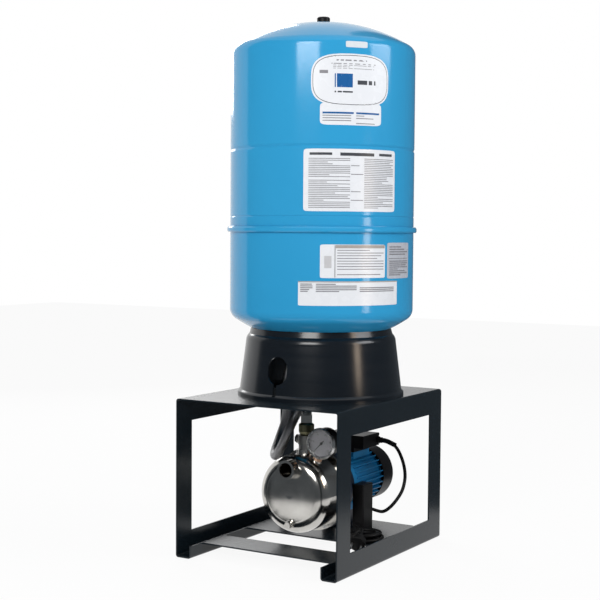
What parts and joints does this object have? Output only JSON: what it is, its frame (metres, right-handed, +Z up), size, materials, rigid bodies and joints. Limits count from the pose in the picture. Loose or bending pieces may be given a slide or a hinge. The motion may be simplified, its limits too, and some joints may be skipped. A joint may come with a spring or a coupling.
{
  "type": "booster pump",
  "caption": "Booster pump set: black steel stand, blue pressure tank on a plinth, and below it a stainless jet pump with motor, gauge, check valve and braided hose.",
  "frame": {"origin": "On the floor under the tank's axis, which is the middle of the bounding box without the supply cord.", "axes": "+Z is up along the tank; -Y is the front, where the pump's suction port points; +X is the side of the control box and the gauge."},
  "size_m": [0.404, 0.493, 1.1328],
  "materials": {
    "stand_black": "gloss black powder coat",
    "plinth_black": "semi-gloss black moulding",
    "tank_blue": "gloss sky-blue enamel",
    "pump_navy": "dark blue casting paint",
    "motor_blue": "mid blue enamel over cast ribs",
    "box_black": "fine-textured black plastic",
    "cord_black": "dull black rubber",
    "braid": "dark braided stainless wire",
    "stainless": "polished stainless steel",
    "zinc_steel": "zinc-plated steel",
    "core_steel": "stacked electrical sheet",
    "brass": "turned brass",
    "old_brass": "dulled olive-grey brass",
    "dial_grey": "matt grey dial",
    "clear": "clear window",
    "white_plastic": "pale engineering plastic"
  },
  "bodies": {
    "root": {"stand_frame": "stand_black", "front_cross_plate": "stand_black", "pump_shelf": "stand_black", "tank_plinth": "plinth_black", "plinth_screws": "zinc_steel", "tank_lower_shell": "tank_blue", "tank_upper_shell": "tank_blue", "tank_clench_ring": "tank_blue", "tank_diaphragm": "cord_black", "tank_inlet": "zinc_steel", "air_valve_stem": "brass", "pump_casing": "stainless", "casing_bolts": "zinc_steel", "seal_plate": "stainless", "seal_seat": "white_plastic", "ejector": "white_plastic", "diffuser": "stainless", "motor_adapter": "pump_navy", "stator_core": "core_steel", "shaft_bearings": "zinc_steel", "motor_front_shield": "motor_blue", "motor_rear_shield": "motor_blue", "motor_housing": "motor_blue", "motor_foot": "pump_navy", "foot_bolts": "zinc_steel", "fan_cover": "box_black", "terminal_box": "box_black", "terminal_lid": "box_black", "run_capacitor": "box_black", "outlet_nipple": "old_brass", "five_way_tee": "old_brass", "check_valve_body": "old_brass", "check_valve_spring": "stainless", "hose_ferrules": "stainless", "braided_hose": "braid", "gauge_elbow": "brass", "gauge_case": "stainless", "gauge_bezel": "stainless", "gauge_dial": "dial_grey", "gauge_glass": "clear", "control_box": "box_black", "control_box_lid": "box_black", "cable_glands": "box_black", "motor_cable": "cord_black", "supply_cord": "cord_black", "supply_coil": "cord_black", "supply_plug": "cord_black"},
    "rotor": {"motor_shaft": "stainless", "rotor_core": "core_steel", "cooling_fan": "box_black", "impeller": "stainless", "seal_ring": "zinc_steel"},
    "pointer": {"gauge_pointer": "box_black"},
    "poppet": {"check_valve_poppet": "old_brass"},
    "valve_core": {"air_valve_core": "brass"},
    "valve_cap": {"air_valve_cap": "box_black"},
    "prime": {"priming_plug": "brass"},
    "drain": {"drain_plug": "stainless"},
    "side_plug": {"tee_plug": "box_black"},
    "hose_nut": {"hose_nut_pump": "stainless"}
  },
  "joints": [
    {"name": "rotor_spin", "type": "hinge", "parent": "root", "child": "rotor", "pos_m": [-0.009, 0.0855, 0.127], "axis": [0, 1, 0], "continuous": true},
    {"name": "pointer_turn", "type": "hinge", "parent": "root", "child": "pointer", "pos_m": [0.0534, -0.0845, 0.239], "axis": [0, 1, 0], "range_deg": [0, 270]},
    {"name": "poppet_lift", "type": "slide", "parent": "root", "child": "poppet", "axis": [0, 0, 1], "range_m": [0, 0.0045], "stiffness_N_per_m": 60, "deforming": ["check_valve_spring"]},
    {"name": "core_press", "type": "slide", "parent": "root", "child": "valve_core", "axis": [0, 0, -1], "range_m": [0, 0.0015], "stiffness_N_per_m": 200},
    {"name": "cap_turn", "type": "hinge", "parent": "root", "child": "valve_cap", "pos_m": [0, 0, 1.12576], "axis": [0, 0, 1], "range_deg": [0, 720]},
    {"name": "prime_turn", "type": "hinge", "parent": "root", "child": "prime", "pos_m": [0.034, -0.0695, 0.20148], "axis": [0.5, 0, 0.866], "range_deg": [0, 720]},
    {"name": "drain_turn", "type": "hinge", "parent": "root", "child": "drain", "pos_m": [-0.009, -0.1145, 0.066], "axis": [0, -1, 0], "range_deg": [0, 720]},
    {"name": "side_plug_turn", "type": "hinge", "parent": "root", "child": "side_plug", "pos_m": [-0.031, -0.0425, 0.2365], "axis": [-1, 0, 0], "range_deg": [0, 720]},
    {"name": "nut_turn", "type": "hinge", "parent": "root", "child": "hose_nut", "pos_m": [-0.009, -0.0425, 0.281], "axis": [0, 0, 1], "range_deg": [0, 720]}
  ]
}
